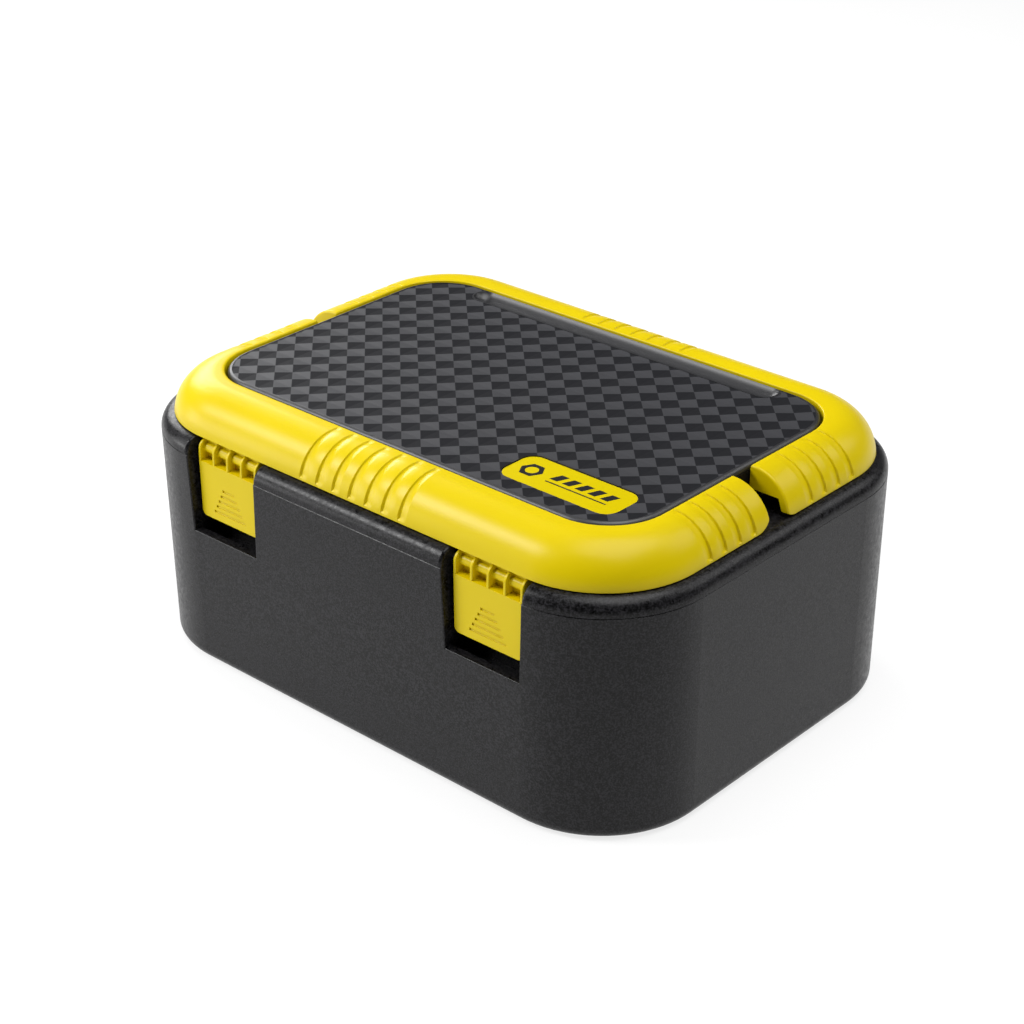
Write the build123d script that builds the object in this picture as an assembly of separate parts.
"""Folding-handle toolbox with a lift-out tray. Millimetres, +Z up, +X to the right, the latches face -Y.

The origin is the middle of the base. The tub is below the parting line, everything above it is the lid.
"""

from build123d import *
import math
import os

# Tub and parting line
BASE_X = 397.0
BASE_Y = 287.6
BASE_R = 68.0
DRAFT = 1.5
PARTING_Z = 140.5
WALL = 2.5
FLOOR = 3.0
BASE_FILLET = 7.0
RIM_X = BASE_X + 2 * DRAFT
RIM_Y = BASE_Y + 2 * DRAFT
RIM_R = BASE_R + DRAFT
LIP_OUT = 2.9
LIP_IN = 4.2
LIP_TOP = 144.5
RIM_BAND_Z = 133.0
BAND_THICK = 2.2
PARTING_BEVEL = 0.35
PARTING_GAP = 0.05
RIB_FOOT_Z = 1.0

# Tray supports inside the tub
LEDGE_TOP = 98.0
LEDGE_DEPTH = 8.0
LEDGE_THICK = 3.0
END_RIB_PLACES = (-62.0, 0.0, 62.0)
SIDE_RIB_PLACES = (-50.0, 50.0)

# Latch pockets, one each side of the middle
LATCH_X = 104.0
POCKET_HALF = 29.0
POCKET_BACK_Y = -127.0
POCKET_LEDGE_Z = 91.0
POCKET_LEDGE_Y = -139.0
POCKET_FLOOR_Z = 84.0
POCKET_TAPER = 1.8
POCKET_EDGE = 0.8
CATCH_HALF = 19.0
CATCH_FOOT = (112.0, 119.0)
CATCH_TIP = (114.5, 116.5)

# Lid shell
SHOULDER_TOP = 150.5
SHOULDER_FILLET = 9.3
LID_INNER_FILLET = 3.6
LID_POCKET_EDGE = 1.8
LID_POCKET_FRONT = 1.0
LID_UNDER_Z = 147.5
PLATEAU_X = 163.0
PLATEAU_Y = 103.7
PLATEAU_R = 36.2
PLATEAU_TOP = 171.0
BOSS_DEPTH = 7.0
BOSS_HALF = 6.0
BOSS_FOOT_Z = 157.0

# Top panel, its tool trough and its badge
PANEL_TOP = 174.6
PANEL_SEAT = 171.1
PANEL_ROUND = 2.6
TROUGH_Y = 94.6
TROUGH_HALF_X = 112.0
TROUGH_HALF_W = 8.2
TROUGH_DEPTH = 5.0
TROUGH_R = (TROUGH_HALF_W**2 + TROUGH_DEPTH**2) / (2 * TROUGH_DEPTH)
TROUGH_PAD_Z = 168.0
BADGE_X = 104.3
BADGE_Y = -73.5
BADGE_L = 81.0
BADGE_W = 31.0
BADGE_R = 9.0
BADGE_SEAT = 172.9
PEG_R = 3.0
PEG_COLUMNS = (-140.0, 0.0, 140.0)
PEG_ROWS = (-80.0, 70.0)

# Folding handles: two U shapes that ring the plateau
RING_X = 192.0
RING_FRONT_Y = 137.1
RING_REAR_Y = 138.6
RING_R = 62.5
RING_Z = 151.0
RING_UNDER = 160.5
RING_OPEN_X = 164.6
RING_OPEN_Y = 105.3
RING_OPEN_R = 37.6
ARC_R = 26.0
ARC_IN = 25.9
ARC_Z = 148.6
HANDLE_WALL = 3.0
LIP_THICK = 3.4
LIP_ROOT = 8.0
SECTION_PAST_ARC = 9.0
PIVOT_BLOCK = 14.0
FRONT_RIBS = (-120, -80, -40, 0, 40, 80, 120)
SIDE_RIBS = (-92, -62)
RIB_HALF = 1.2
PIVOT_Y = 18.0
PIVOT_Z = 165.5
END_SWEEP_R = 14.6
GAP_MIDDLE = 2.0
GAP_HALF = 8.0
GRIP_PITCH = 13.3
GRIP_RIBS = 7
GRIP_DEPTH = 1.0
GRIP_WIDTH = 3.2
GRIP_REACH = 60.0

# Pins
HANDLE_PIN_R = 2.5
LATCH_PIN_R = 1.5
HINGE_PIN_R = 2.0
LATCH_PIN_SEAT = 1.5
PIN_SEAT = 5.8
PIN_REACH = 11.0
RUNNING_FIT = 0.05
PRESS_FIT = 0.02

# Latches
LATCH_HALF = 25.2
LATCH_FACE_Y = -139.5
LATCH_THICK = 3.2
LATCH_BOTTOM = 100.5
LATCH_PLATE_TOP = 137.0
LATCH_PIVOT_Y = -133.5
LATCH_PIVOT_Z = 144.0
FIN_R = 5.6
FIN_PITCH = 12.1
FIN_THICK = 1.9
FIN_EDGE = 0.5
HUB_R = 3.0
WEB_Y = -133.2
WEB_THICK = 2.4
WEB_TOP = 149.2
LATCH_CORNER = 4.0
LATCH_EDGE = 0.8
MARKS = 5
MARK_ROUND = 0.5
MARK_PITCH = 3.93
MARK_TOP_Z = 122.4
MARK_HALF = 5.2
MARK_GROWTH = 2.1
MARK_HEIGHT = 1.7
MARK_DEPTH = 0.8
SCALLOP_PITCH = 6.2
SCALLOP_DEPTH = 0.45
CATCH_Y = -131.7
HOOK_Y = -132.1
HOOK_Z = 110.5
HOOK_HALF = 18.0
STIFFENER_PLACES = (-22.0, 0.0, 22.0)

# Rear hinges
HINGE_X = 105.0
HINGE_Y = 150.3
KNUCKLE_R = 4.2
HINGE_HALF = 22.0
LID_KNUCKLE_HALF = 11.0
KNUCKLE_GAP = 0.4
HINGE_ROOT = 1.5
HINGE_WEB_Z = 122.0

# Tray
TRAY_X = 190.0
TRAY_Y = 136.0
TRAY_R = 60.0
TRAY_FLOOR_Z = 98.3
TRAY_RIM_Z = 135.0
TRAY_WALL = 2.0
TRAY_FLANGE = 3.0
NOTCH_HALF = 36.0
NOTCH_Y = -119.5
CROSS_X = 66.0
SPINE_LOW_Z = 121.0
BAIL_X = 49.0
BAIL_ARM = 26.0
BAIL_Z = 129.5
BAIL_GRIP_R = 4.6
BAIL_PIN_R = 2.5
BAIL_CLEAR = 5.4
BAIL_BOSS = 12.0
BAIL_HALF = 2.5
BAIL_ARM_R = 3.6
RAIL_HALF = 0.7
RAIL_OUT = 2.5
DIVIDER_THICK = 1.8
DIVIDER_X = 127.0


def slab(half_x, half_y, radius, low, high, grow=0.0):
    """Upright block with rounded corners; grow is how much wider it is on each side at its top."""
    foot = Plane.XY.offset(low) * RectangleRounded(2 * half_x, 2 * half_y, radius)
    if grow == 0.0:
        return extrude(foot, high - low)
    head = Plane.XY.offset(high) * RectangleRounded(2 * (half_x + grow), 2 * (half_y + grow), radius + grow)
    return loft([foot, head], ruled=True)


def block(x0, x1, y0, y1, z0, z1):
    """Plain box between two corners."""
    middle = ((x0 + x1) / 2, (y0 + y1) / 2, (z0 + z1) / 2)
    return Pos(*middle) * Box(abs(x1 - x0), abs(y1 - y0), abs(z1 - z0))


def rod(x0, x1, y, z, radius):
    """Cylinder along X."""
    return Pos((x0 + x1) / 2, y, z) * Rot(0, 90, 0) * Cylinder(radius, abs(x1 - x0))


def side_plate(x0, x1, outline):
    """Plate of an outline drawn in Y and Z, from x0 to x1."""
    face = make_face(Polyline(*[(0, y, z) for y, z in outline], close=True))
    return Pos(min(x0, x1), 0, 0) * extrude(face, abs(x1 - x0), dir=(1, 0, 0))


def edges_at(shape, z):
    """Edges of a shape that lie in the level plane at z."""
    return shape.edges().filter_by_position(Axis.Z, z - 0.01, z + 0.01)


def front_prism(y0, y1, outline):
    """Solid of an outline drawn in X and Z, from y0 back to y1."""
    face = make_face(Polyline(*[(x, 0, z) for x, z in outline], close=True))
    return Pos(0, y0, 0) * extrude(face, y1 - y0, dir=(0, 1, 0))


def tub():
    outer = slab(BASE_X / 2, BASE_Y / 2, BASE_R, 0, PARTING_Z, DRAFT)
    outer = fillet(edges_at(outer, 0), BASE_FILLET)
    hollow_x = BASE_X / 2 - WALL
    hollow_y = BASE_Y / 2 - WALL
    hollow = slab(hollow_x, hollow_y, BASE_R - WALL, FLOOR, PARTING_Z + 1, DRAFT)
    hollow = fillet(edges_at(hollow, FLOOR), BASE_FILLET - WALL)
    body = outer - hollow
    inset = BAND_THICK
    band = slab(RIM_X / 2 - inset, RIM_Y / 2 - inset, RIM_R - inset, RIM_BAND_Z, PARTING_Z)
    band -= slab(RIM_X / 2 - LIP_IN, RIM_Y / 2 - LIP_IN, RIM_R - LIP_IN, RIM_BAND_Z - 1, PARTING_Z + 1)
    lip = slab(RIM_X / 2 - LIP_OUT, RIM_Y / 2 - LIP_OUT, RIM_R - LIP_OUT, PARTING_Z - 1, LIP_TOP)
    lip -= slab(RIM_X / 2 - LIP_IN, RIM_Y / 2 - LIP_IN, RIM_R - LIP_IN, PARTING_Z - 2, LIP_TOP + 1)
    body += band
    body += lip
    for ledge in tray_ledges(outer):
        body += ledge
    for side in (-1, 1):
        body = cut_pocket(body, outer, side)
    body = fillet(pocket_edges(body), POCKET_EDGE)
    body -= parting_bevel(PARTING_Z - PARTING_BEVEL, 0.0)
    for side in (-1, 1):
        body += tub_hinge(side)
    reach = HINGE_HALF + WALL
    for side in (-1, 1):
        middle = side * HINGE_X
        body -= rod(middle - reach, middle + reach, HINGE_Y, PARTING_Z, HINGE_PIN_R + PRESS_FIT)
    return body


def parting_bevel(low, foot):
    """Ring that bevels the outer edge at the parting line; foot is how wide it is at its lower face."""
    top = low + PARTING_BEVEL
    grow = 2 * foot - PARTING_BEVEL
    ring = slab(RIM_X / 2 + 1, RIM_Y / 2 + 1, RIM_R + 1, low, top)
    return ring - slab(RIM_X / 2 - foot, RIM_Y / 2 - foot, RIM_R - foot, low, top, grow)


def tray_ledges(outer):
    """Upright ribs inside the walls whose tops carry the tray."""
    ribs = []
    deep = LEDGE_DEPTH + WALL
    half = LEDGE_THICK / 2
    for side in (-1, 1):
        end_x = side * BASE_X / 2
        for y in END_RIB_PLACES:
            ribs.append(block(end_x, end_x - side * deep, y - half, y + half, RIB_FOOT_Z, LEDGE_TOP))
        end_y = side * BASE_Y / 2
        for x in SIDE_RIB_PLACES:
            ribs.append(block(x - half, x + half, end_y, end_y - side * deep, RIB_FOOT_Z, LEDGE_TOP))
    return [rib & outer for rib in ribs]


def cut_pocket(body, outer, side):
    """Recess for one latch, closed off from the inside of the tub, with the rib that the latch grips."""
    middle = side * LATCH_X
    near = middle - POCKET_HALF
    far = middle + POCKET_HALF
    back = POCKET_BACK_Y + WALL
    casing = block(near - WALL, far + WALL, -RIM_Y / 2, back, POCKET_FLOOR_Z - WALL, PARTING_Z)
    body += casing & outer
    body -= block(near - WALL, far + WALL, -RIM_Y, back, PARTING_Z, LIP_TOP + 1)
    body -= front_prism(-RIM_Y, POCKET_BACK_Y, pocket_outline(middle, POCKET_LEDGE_Z))
    body -= front_prism(POCKET_LEDGE_Y, POCKET_BACK_Y, pocket_outline(middle, POCKET_FLOOR_Z))
    root = POCKET_BACK_Y + 1
    catch = [(root, CATCH_FOOT[0]), (CATCH_Y, CATCH_TIP[0]), (CATCH_Y, CATCH_TIP[1]), (root, CATCH_FOOT[1])]
    return body + side_plate(middle - CATCH_HALF, middle + CATCH_HALF, catch)


def pocket_outline(middle, low):
    """Front view of a latch pocket, a little narrower towards its foot."""
    top = PARTING_Z + 1
    narrow = POCKET_TAPER * (top - low) / (PARTING_Z - POCKET_LEDGE_Z)
    foot = POCKET_HALF - narrow
    return [
        (middle - foot, low), (middle + foot, low), (middle + POCKET_HALF, top), (middle - POCKET_HALF, top)
    ]


def pocket_edges(body):
    """Edges where the latch pockets meet the front of the tub."""
    picked = body.edges().filter_by(lambda e: e.center().Y < -RIM_Y / 2 + WALL / 2)
    picked = picked.filter_by(lambda e: POCKET_LEDGE_Z - 1 < e.center().Z < PARTING_Z - 2)
    return picked.filter_by(lambda e: abs(abs(e.center().X) - LATCH_X) < POCKET_HALF + 1)


def tub_hinge(side):
    """Two knuckles of one rear hinge, with the web that joins them to the tub wall."""
    middle = side * HINGE_X
    root = RIM_Y / 2 - HINGE_ROOT
    web = [
        (root, HINGE_WEB_Z), (RIM_Y / 2 + 0.2, HINGE_WEB_Z), (HINGE_Y + 3, PARTING_Z - KNUCKLE_R),
        (HINGE_Y, PARTING_Z), (root, PARTING_Z - 0.6),
    ]
    leaf = Part()
    for end in (-1, 1):
        inner = middle + end * (LID_KNUCKLE_HALF + KNUCKLE_GAP)
        outer_end = middle + end * HINGE_HALF
        leaf += rod(inner, outer_end, HINGE_Y, PARTING_Z, KNUCKLE_R)
        leaf += side_plate(inner, outer_end, web)
    return leaf


def lid_shell():
    outer = slab(RIM_X / 2, RIM_Y / 2, RIM_R, PARTING_Z + PARTING_GAP, SHOULDER_TOP)
    outer = fillet(edges_at(outer, SHOULDER_TOP), SHOULDER_FILLET)
    hollow = slab(RIM_X / 2 - WALL, RIM_Y / 2 - WALL, RIM_R - WALL, PARTING_Z - 1, LID_UNDER_Z)
    body = outer - fillet(edges_at(hollow, LID_UNDER_Z), LID_INNER_FILLET)
    body += slab(PLATEAU_X, PLATEAU_Y, PLATEAU_R, LID_UNDER_Z, PLATEAU_TOP)
    body -= slab(PLATEAU_X - WALL, PLATEAU_Y - WALL, PLATEAU_R - WALL, PARTING_Z, PLATEAU_TOP - WALL)
    body -= trough_clearance()
    for x, y in peg_places():
        body -= Pos(x, y, PLATEAU_TOP) * Cylinder(PEG_R + 0.1, 4 * WALL)
    for side in (-1, 1):
        body = lid_pocket(body, outer, side)
    body = fillet(lid_pocket_edges(body), LID_POCKET_EDGE)
    body -= parting_bevel(PARTING_Z + PARTING_GAP, PARTING_BEVEL)
    for side in (-1, 1):
        body = cut_pivots(body + lid_knuckle(side), side)
    return body


def cut_pivots(body, side):
    """Bosses and holes for the pins of the latch, the rear hinge and the two handles on one side."""
    reach = HINGE_HALF + WALL
    body -= rod(side * HINGE_X - reach, side * HINGE_X + reach, HINGE_Y, PARTING_Z, HINGE_PIN_R + RUNNING_FIT)
    reach = POCKET_HALF + LATCH_PIN_SEAT
    middle = side * LATCH_X
    body -= rod(middle - reach, middle + reach, LATCH_PIVOT_Y, LATCH_PIVOT_Z, LATCH_PIN_R + PRESS_FIT)
    inner = side * (PLATEAU_X - BOSS_DEPTH)
    outer = side * (PLATEAU_X - 1)
    for y in (-PIVOT_Y, PIVOT_Y):
        body += block(inner, outer, y - BOSS_HALF, y + BOSS_HALF, BOSS_FOOT_Z, PLATEAU_TOP - 1)
        body -= rod(inner + side, side * (PLATEAU_X + WALL), y, PIVOT_Z, HANDLE_PIN_R + PRESS_FIT)
    return body


def trough_clearance():
    """Slot in the plateau that the bottom of the trough drops into."""
    half = TROUGH_HALF_X + TROUGH_HALF_W + 1
    front = TROUGH_Y - TROUGH_HALF_W - 0.5
    return block(-half, half, front, PLATEAU_Y - WALL - 0.2, PLATEAU_TOP - 4, PLATEAU_TOP + 1)


def peg_places():
    """Centres of the pegs that hold the panel on the plateau."""
    return [(x, y) for x in PEG_COLUMNS for y in PEG_ROWS]


def lid_pocket(body, outer, side):
    """Gap in the shoulder above one latch, walled off inside the lid."""
    near = side * LATCH_X - POCKET_HALF
    far = side * LATCH_X + POCKET_HALF
    front = -RIM_Y / 2 + LID_POCKET_FRONT
    bottom = PARTING_Z + PARTING_GAP
    casing = block(near - WALL, far + WALL, front, POCKET_BACK_Y + WALL, bottom, LID_UNDER_Z + 1)
    body += casing & outer
    return body - block(near, far, -RIM_Y, POCKET_BACK_Y, PARTING_Z - 1, SHOULDER_TOP + 1)


def lid_pocket_edges(body):
    """Edges of the shoulder beside the latches."""
    picked = body.edges().filter_by(lambda e: abs(abs(abs(e.center().X) - LATCH_X) - POCKET_HALF) < 0.01)
    picked = picked.filter_by(lambda e: e.center().Y < -RIM_Y / 2 + SHOULDER_FILLET / 2)
    return picked.filter_by(lambda e: e.center().Z > PARTING_Z + 2 * PARTING_GAP)


def lid_knuckle(side):
    """Middle knuckle of one rear hinge, with its web to the lid wall."""
    middle = side * HINGE_X
    start = middle - LID_KNUCKLE_HALF
    end = middle + LID_KNUCKLE_HALF
    root = RIM_Y / 2 - HINGE_ROOT
    low = PARTING_Z + 0.5
    web = [(root, low), (HINGE_Y, low), (HINGE_Y, PARTING_Z + KNUCKLE_R), (root, LID_UNDER_Z - 2)]
    return rod(start, end, HINGE_Y, PARTING_Z, KNUCKLE_R) + side_plate(start, end, web)


def lid_panel():
    body = slab(PLATEAU_X, PLATEAU_Y, PLATEAU_R, PANEL_SEAT, PANEL_TOP)
    body = fillet(edges_at(body, PANEL_TOP), PANEL_ROUND)
    half = TROUGH_HALF_X + TROUGH_HALF_W
    pad_front = TROUGH_Y - TROUGH_HALF_W + 0.5
    pad_rear = PLATEAU_Y - WALL - 0.8
    body += block(-half, half, pad_front, pad_rear, TROUGH_PAD_Z, PANEL_SEAT + 0.5)
    axis_z = PANEL_TOP - TROUGH_DEPTH + TROUGH_R
    body -= rod(-TROUGH_HALF_X, TROUGH_HALF_X, TROUGH_Y, axis_z, TROUGH_R)
    for side in (-1, 1):
        body -= Pos(side * TROUGH_HALF_X, TROUGH_Y, axis_z) * Sphere(TROUGH_R)
    seat = Pos(BADGE_X, BADGE_Y, BADGE_SEAT) * RectangleRounded(BADGE_L + 0.8, BADGE_W + 0.8, BADGE_R + 0.4)
    body -= extrude(seat, 5)
    for x, y in peg_places():
        body += Pos(x, y, PANEL_SEAT - 2.5) * Cylinder(PEG_R, 6)
    return body


def badge_plate():
    foot = Pos(BADGE_X, BADGE_Y, BADGE_SEAT + 0.05) * RectangleRounded(BADGE_L, BADGE_W, BADGE_R)
    plate = extrude(foot, PANEL_TOP - BADGE_SEAT)
    return chamfer(plate.edges().group_by(Axis.Z)[-1], 0.4)


def handle_section(arc_radius, low, lip):
    """Quarter-round section of a handle, in distance in from the outer edge and height."""
    start = ARC_IN - math.sqrt(arc_radius**2 - (low - ARC_Z) ** 2)
    top = ARC_Z + arc_radius
    mid_angle = math.radians(45)
    mid = (ARC_IN - arc_radius * math.cos(mid_angle), ARC_Z + arc_radius * math.sin(mid_angle))
    inner = ARC_IN + SECTION_PAST_ARC
    crown = ThreePointArc((start, low), mid, (ARC_IN, top))
    foot = [(inner, low)]
    if lip:
        foot = [(inner, RING_UNDER), (start + LIP_ROOT, RING_UNDER), (start + LIP_THICK, low)]
    rest = Polyline((ARC_IN, top), (inner, top), *foot, (start, low))
    return make_face([crown, rest])


def u_sweep(section_face, ring_y, end_y):
    """Sweep a section along the U of one front handle, from one end round to the other."""
    path = FilletPolyline(
        (RING_X, end_y, 0), (RING_X, -ring_y, 0), (-RING_X, -ring_y, 0), (-RING_X, end_y, 0), radius=RING_R
    )
    start = Plane(origin=(RING_X, end_y, 0), x_dir=(-1, 0, 0), z_dir=(0, 1, 0))
    return sweep(start * section_face, path=path)


def handle_blank(ring_y, end_y):
    """U of a front handle, its bar out at ring_y and its ends at end_y, hollowed from below, with plain grips."""
    body = u_sweep(handle_section(ARC_R, RING_Z, True), ring_y, end_y)
    body -= slab(RING_OPEN_X, RING_OPEN_Y, RING_OPEN_R, RING_Z - 5, PANEL_TOP + 5)
    hollow = u_sweep(handle_section(ARC_R - HANDLE_WALL, RING_UNDER - 0.5, False), ring_y, end_y)
    wall = HANDLE_WALL
    hollow -= slab(RING_OPEN_X + wall, RING_OPEN_Y + wall, RING_OPEN_R + wall, RING_Z - 5, PANEL_TOP + 5)
    hollow -= block(-RING_X, RING_X, -PIVOT_Y - PIVOT_BLOCK, end_y + 1, RING_Z, PANEL_TOP)
    for x in FRONT_RIBS:
        hollow -= block(x - RIB_HALF, x + RIB_HALF, -ring_y, -RING_OPEN_Y, RING_Z, PANEL_TOP)
    for y in SIDE_RIBS:
        hollow -= block(-RING_X, RING_X, y - RIB_HALF, y + RIB_HALF, RING_Z, PANEL_TOP)
    wide = RING_X + 1
    corner = block(-wide, wide, -PIVOT_Y, end_y + 1, RING_Z - 1, PIVOT_Z)
    corner -= rod(-wide, wide, -PIVOT_Y, PIVOT_Z, END_SWEEP_R)
    return body - hollow - corner


def groove_ring(place, ring_y):
    """Shallow band of one grip groove across the top of the bar."""
    arc = Cylinder(ARC_R + 5, GRIP_WIDTH) - Cylinder(ARC_R - GRIP_DEPTH, GRIP_WIDTH + 2)
    return Pos(place, ARC_IN - ring_y, ARC_Z) * Rot(0, 90, 0) * arc


def front_handle():
    return finish_handle(handle_blank(RING_FRONT_Y, GAP_MIDDLE - GAP_HALF), RING_FRONT_Y)


def rear_handle():
    blank = handle_blank(RING_REAR_Y, -GAP_MIDDLE - GAP_HALF)
    return mirror(finish_handle(blank, RING_REAR_Y), Plane.XZ)


def finish_handle(body, ring_y):
    """Grip grooves and pin holes of a front handle."""
    count = GRIP_RIBS // 2
    for step in range(-count, count + 1):
        front = block(-GRIP_REACH, GRIP_REACH, -RIM_Y, -RING_OPEN_Y, RING_Z - 1, PANEL_TOP + 5)
        body -= groove_ring(step * GRIP_PITCH, ring_y) & front
    for side in (-1, 1):
        blind_end = side * (RING_OPEN_X + PIN_REACH + 0.5)
        body -= rod(side * (RING_OPEN_X - 1), blind_end, -PIVOT_Y, PIVOT_Z, HANDLE_PIN_R + RUNNING_FIT)
    return body


def handle_pin(side, y):
    return rod(side * (PLATEAU_X - PIN_SEAT), side * (RING_OPEN_X + PIN_REACH), y, PIVOT_Z, HANDLE_PIN_R)


def latch_plate():
    """Flat front of a latch with rounded edges, round its middle."""
    back = LATCH_FACE_Y + LATCH_THICK
    plate = block(-LATCH_HALF, LATCH_HALF, LATCH_FACE_Y, back, LATCH_BOTTOM, LATCH_PLATE_TOP)
    plate = fillet(plate.edges().filter_by(Axis.Y).group_by(Axis.Z)[0], LATCH_CORNER)
    front = plate.edges().filter_by_position(Axis.Y, LATCH_FACE_Y - 0.01, LATCH_FACE_Y + 0.01)
    plate = fillet(front.filter_by(lambda e: e.center().Z < LATCH_PLATE_TOP - 1), LATCH_EDGE)
    for step in range(MARKS):
        half = MARK_HALF + MARK_GROWTH * step
        low = MARK_TOP_Z - MARK_PITCH * step - MARK_HEIGHT / 2
        mark = block(-half, half, LATCH_FACE_Y - 1, LATCH_FACE_Y + MARK_DEPTH, low, low + MARK_HEIGHT)
        plate -= fillet(mark.edges().filter_by(Axis.X).group_by(Axis.Y)[-1], MARK_ROUND)
    radius = (SCALLOP_PITCH**2 / 4 + SCALLOP_DEPTH**2) / (2 * SCALLOP_DEPTH)
    bite_z = LATCH_BOTTOM + SCALLOP_DEPTH - radius
    bite = Rot(90, 0, 0) * Cylinder(radius, 3 * LATCH_THICK)
    for step in range(-3, 4):
        plate -= Pos(step * SCALLOP_PITCH, LATCH_FACE_Y, bite_z) * bite
    return plate


def latch_fin(place):
    """Upright rounded fin across the top of a latch, beside its pivot."""
    cheek = [
        (LATCH_FACE_Y, LATCH_PLATE_TOP - 3),
        (LATCH_FACE_Y + LATCH_THICK, LATCH_PLATE_TOP - 8),
        (LATCH_PIVOT_Y + 4, LATCH_PIVOT_Z - 4),
        (LATCH_PIVOT_Y, LATCH_PIVOT_Z),
        (LATCH_FACE_Y + 0.4, LATCH_PIVOT_Z),
    ]
    half = FIN_THICK / 2
    fin = rod(-half, half, LATCH_PIVOT_Y, LATCH_PIVOT_Z, FIN_R) + side_plate(-half, half, cheek)
    rim = fin.edges().group_by(Axis.X)
    front = [e for e in rim[0] + rim[-1] if e.center().Y < LATCH_PIVOT_Y]
    return Pos(place, 0, 0) * fillet(front, FIN_EDGE)


def latch(side):
    back = LATCH_FACE_Y + LATCH_THICK
    web_back = WEB_Y + WEB_THICK
    web = [
        (LATCH_FACE_Y + 0.2, LATCH_PLATE_TOP),
        (WEB_Y, LATCH_PLATE_TOP),
        (WEB_Y, WEB_TOP),
        (web_back, WEB_TOP - 1),
        (web_back, LATCH_PLATE_TOP - 1),
        (back, LATCH_PLATE_TOP - 8),
        (LATCH_FACE_Y + 1, LATCH_PLATE_TOP - 8),
    ]
    inside = LATCH_HALF - FIN_THICK / 2
    body = latch_plate() + side_plate(-inside, inside, web)
    body += rod(-inside, inside, LATCH_PIVOT_Y, LATCH_PIVOT_Z, HUB_R)
    for step in range(-2, 3):
        body += latch_fin(step * FIN_PITCH)
    hook = [
        (back - 0.5, HOOK_Z - 2), (HOOK_Y - 1, HOOK_Z - 2), (HOOK_Y, HOOK_Z - 0.5), (HOOK_Y, HOOK_Z + 1.5),
        (back - 0.5, HOOK_Z + 2),
    ]
    body += side_plate(-HOOK_HALF, HOOK_HALF, hook)
    for x in STIFFENER_PLACES:
        body += block(x - 1, x + 1, back - 0.5, back + 2.2, LATCH_BOTTOM + 3.5, LATCH_PLATE_TOP - 5)
    body -= rod(-LATCH_HALF - 1, LATCH_HALF + 1, LATCH_PIVOT_Y, LATCH_PIVOT_Z, LATCH_PIN_R + RUNNING_FIT)
    return Pos(side * LATCH_X, 0, 0) * body


def latch_pin(side):
    reach = POCKET_HALF + 1.4
    return rod(side * LATCH_X - reach, side * LATCH_X + reach, LATCH_PIVOT_Y, LATCH_PIVOT_Z, LATCH_PIN_R)


def hinge_pin(side):
    reach = HINGE_HALF + 1.5
    return rod(side * HINGE_X - reach, side * HINGE_X + reach, HINGE_Y, PARTING_Z, HINGE_PIN_R)


def tray_outline(shrink):
    """Tray outline in plan, with a notch for each latch pocket."""
    shape = RectangleRounded(2 * (TRAY_X - shrink), 2 * (TRAY_Y - shrink), TRAY_R - shrink)
    for side in (-1, 1):
        notch_y = (-TRAY_Y - 10 + NOTCH_Y) / 2
        notch = Rectangle(2 * (NOTCH_HALF + shrink), abs(-TRAY_Y - 10 - NOTCH_Y) + 2 * shrink)
        shape -= Pos(side * LATCH_X, notch_y) * notch
    return shape


def tray():
    body = extrude(Plane.XY.offset(TRAY_FLOOR_Z) * tray_outline(0), TRAY_RIM_Z - TRAY_FLOOR_Z)
    body -= extrude(Plane.XY.offset(TRAY_FLOOR_Z + TRAY_WALL) * tray_outline(TRAY_WALL), TRAY_RIM_Z)
    rim = extrude(Plane.XY.offset(TRAY_RIM_Z - 2) * tray_outline(-TRAY_FLANGE), 2)
    rim -= extrude(Plane.XY.offset(TRAY_RIM_Z - 3) * tray_outline(TRAY_WALL), 5)
    body += rim
    low = TRAY_FLOOR_Z + TRAY_WALL / 2
    spine = block(-TRAY_X + 1, TRAY_X - 1, -1, 1, low, TRAY_RIM_Z - 1)
    reach = BAIL_X + BAIL_CLEAR
    spine -= block(-reach, reach, -2, 2, SPINE_LOW_Z, TRAY_RIM_Z + 1)
    body += spine
    for side in (-1, 1):
        x = side * CROSS_X
        body += block(x - 1, x + 1, -TRAY_Y + 1, TRAY_Y - 1, low, TRAY_RIM_Z - 1)
        boss_end = side * (BAIL_X + BAIL_BOSS)
        body += block(side * (BAIL_X + BAIL_CLEAR), boss_end, -5, 5, SPINE_LOW_Z - 8, TRAY_RIM_Z - 0.5)
        body += slot_rails(side)
    for side in (-1, 1):
        body -= rod(side * (BAIL_X + 5), side * (BAIL_X + 10.5), 0, BAIL_Z, BAIL_PIN_R + RUNNING_FIT)
    return body


def slot_rails(side):
    """Pairs of upright rails on the rear wall and the spine that hold one loose divider."""
    rails = Part()
    for wall_y in (1.0, TRAY_Y - TRAY_WALL):
        toward = 1 if wall_y < 50 else -1
        for edge in (-1, 1):
            x = side * DIVIDER_X + edge * (DIVIDER_THICK / 2 + 1.1)
            near = wall_y - toward * 0.5
            far = wall_y + toward * RAIL_OUT
            rails += block(x - RAIL_HALF, x + RAIL_HALF, near, far, TRAY_FLOOR_Z + 1, TRAY_RIM_Z - 4)
    return rails


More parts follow.
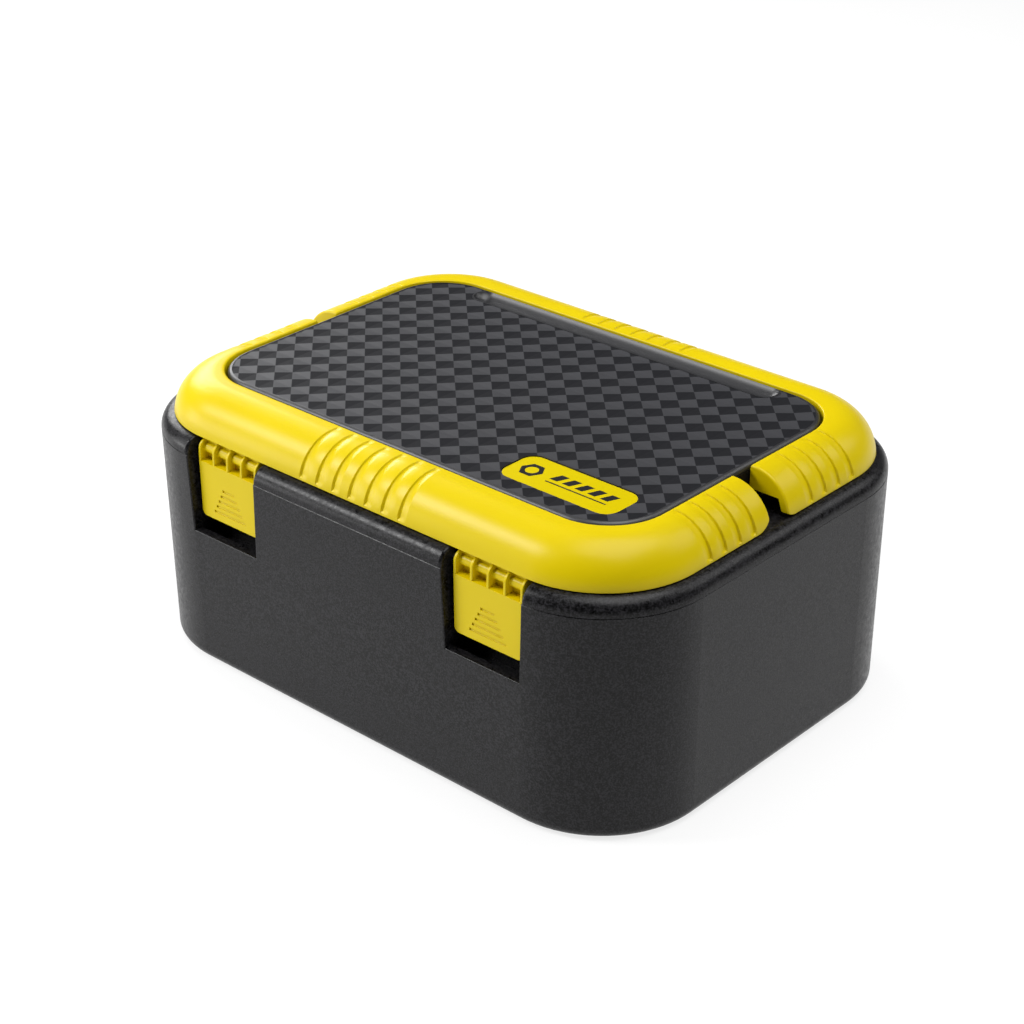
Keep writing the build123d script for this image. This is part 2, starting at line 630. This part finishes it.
def tray_divider(side):
    """Loose divider plate that slots into the rear compartment."""
    y_near = 1.4
    y_far = TRAY_Y - TRAY_WALL - 0.4
    low = TRAY_FLOOR_Z + TRAY_WALL + 0.05
    half = DIVIDER_THICK / 2
    return block(side * DIVIDER_X - half, side * DIVIDER_X + half, y_near, y_far, low, TRAY_RIM_Z - 3)


def tray_handle():
    """Folding bail of the tray, lying flat towards the rear."""
    body = rod(-BAIL_X - BAIL_HALF, BAIL_X + BAIL_HALF, BAIL_ARM, BAIL_Z, BAIL_GRIP_R)
    for side in (-1, 1):
        inner = side * (BAIL_X - BAIL_HALF)
        outer = side * (BAIL_X + BAIL_HALF)
        body += block(inner, outer, 0, BAIL_ARM, BAIL_Z - BAIL_ARM_R, BAIL_Z + BAIL_ARM_R)
        body += rod(inner, outer, 0, BAIL_Z, BAIL_ARM_R)
        body += rod(side * (BAIL_X + 2), side * (BAIL_X + 10), 0, BAIL_Z, BAIL_PIN_R)
    return body


NODES = {
    "tub": tub,
    "lid_shell": lid_shell,
    "lid_panel": lid_panel,
    "badge_plate": badge_plate,
    "front_handle": front_handle,
    "rear_handle": rear_handle,
    "handle_pin_front_left": lambda: handle_pin(-1, -PIVOT_Y),
    "handle_pin_front_right": lambda: handle_pin(1, -PIVOT_Y),
    "handle_pin_rear_left": lambda: handle_pin(-1, PIVOT_Y),
    "handle_pin_rear_right": lambda: handle_pin(1, PIVOT_Y),
    "latch_left": lambda: latch(-1),
    "latch_right": lambda: latch(1),
    "latch_pin_left": lambda: latch_pin(-1),
    "latch_pin_right": lambda: latch_pin(1),
    "hinge_pin_left": lambda: hinge_pin(-1),
    "hinge_pin_right": lambda: hinge_pin(1),
    "tray": tray,
    "tray_handle": tray_handle,
    "tray_divider_left": lambda: tray_divider(-1),
    "tray_divider_right": lambda: tray_divider(1),
}

os.makedirs("parts", exist_ok=True)
for name, make in NODES.items():
    shape = make()
    print(name, len(shape.solids()), round(shape.volume))
    export_step(shape, f"parts/{name}.step")
